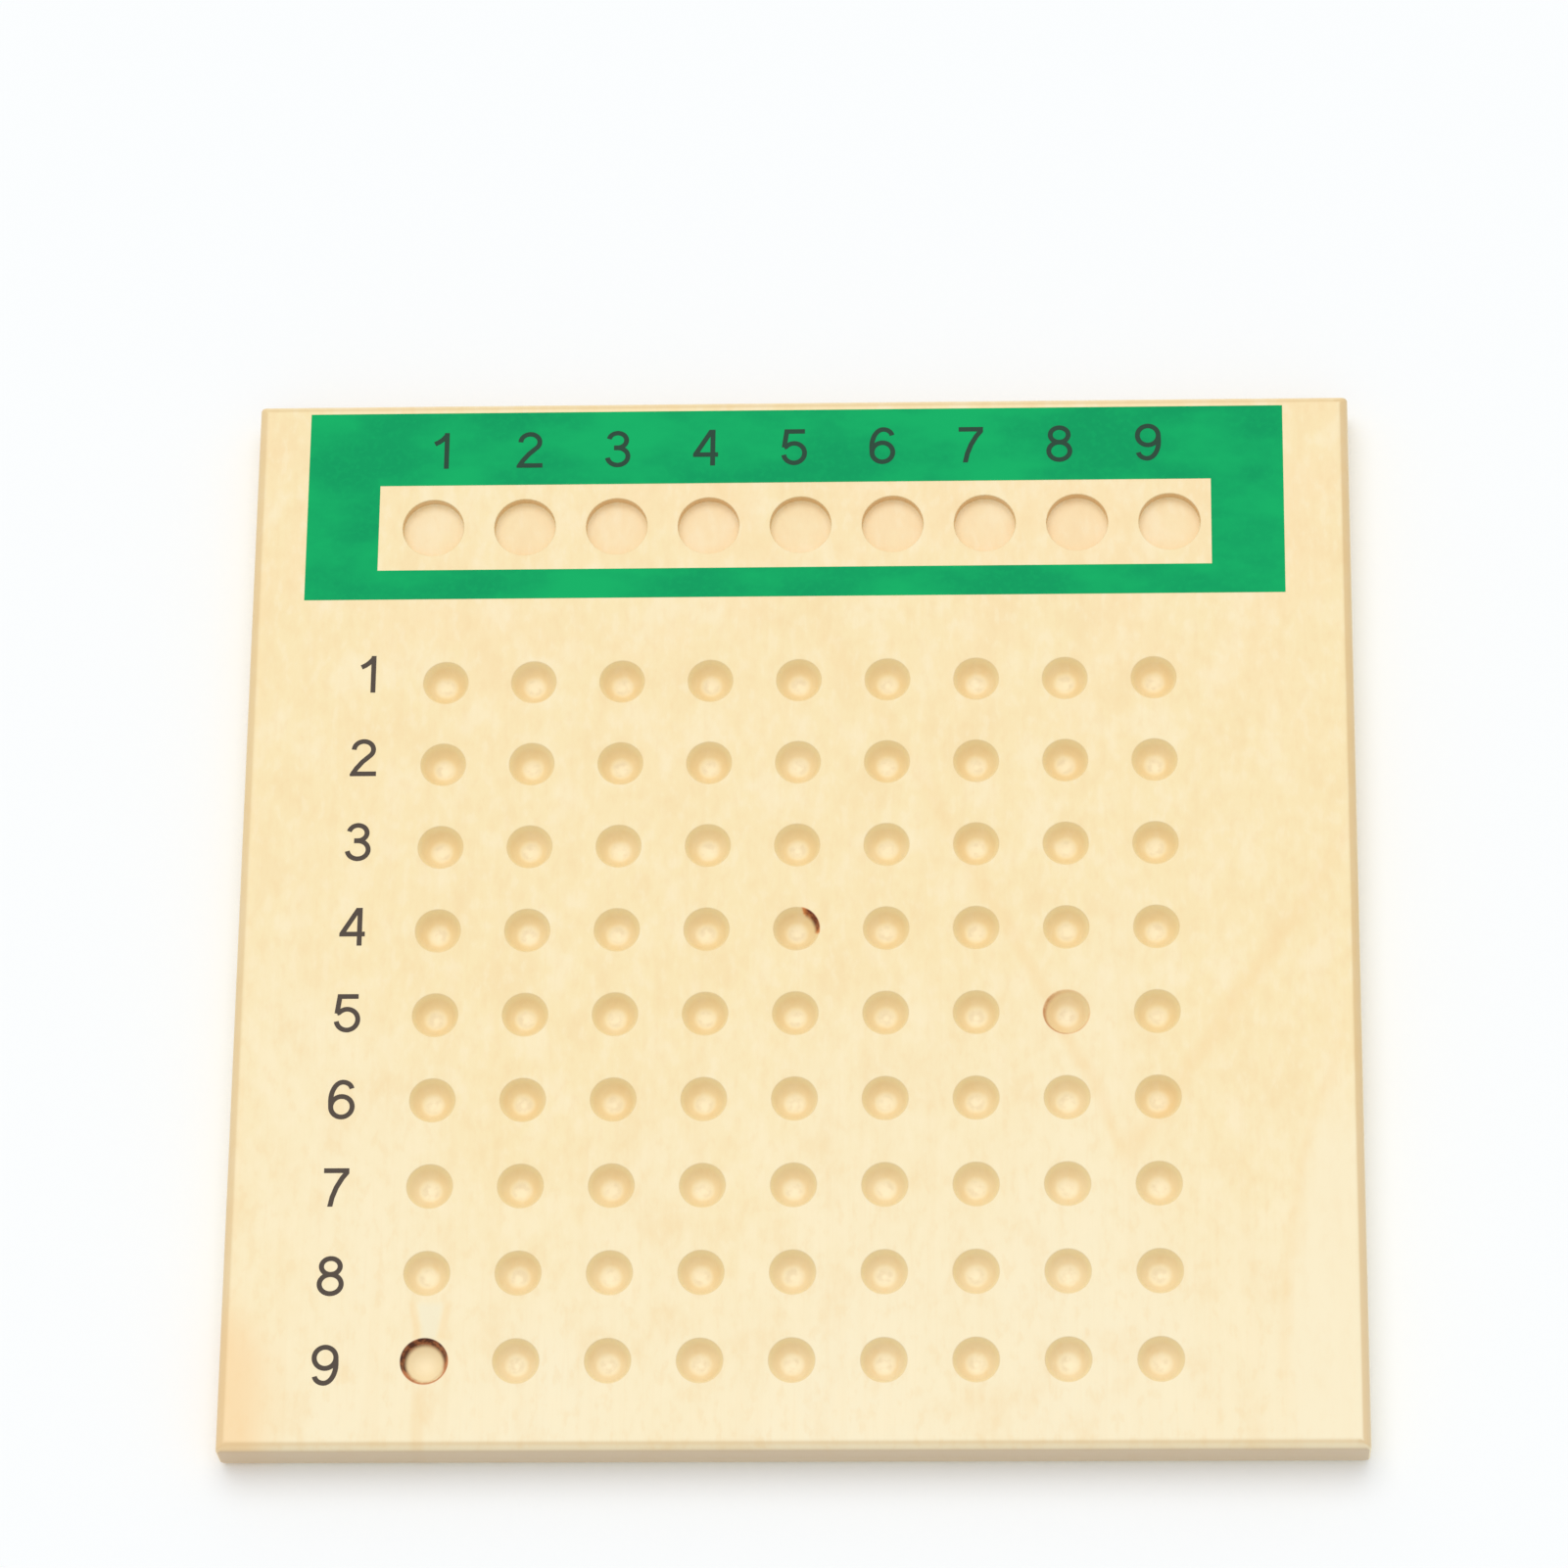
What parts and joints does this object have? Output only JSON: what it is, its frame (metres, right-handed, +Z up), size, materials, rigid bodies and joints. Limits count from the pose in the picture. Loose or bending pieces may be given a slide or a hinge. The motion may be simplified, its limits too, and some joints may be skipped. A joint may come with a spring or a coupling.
{
  "type": "multiplication bead board",
  "caption": "Square wooden board with a grid of round hollows for beads, a row of flat-bottomed pockets behind it and a green printed band round that row.",
  "frame": {"origin": "middle of the underside, on the surface the board lies on", "axes": "+Z up out of the face with the hollows, +X to the right along a row, +Y to the back edge, where the pockets are"},
  "size_m": [0.25, 0.25, 0.0121],
  "materials": {
    "wood": "pale close-grained wood, sanded, thin matt clear finish, grain from front to back",
    "green_paint": "thin even film of matt green screen-printing ink",
    "ink": "dark grey printed numerals, matt"
  },
  "bodies": {
    "root": {"board": "wood", "green_band": "green_paint"}
  },
  "joints": []
}
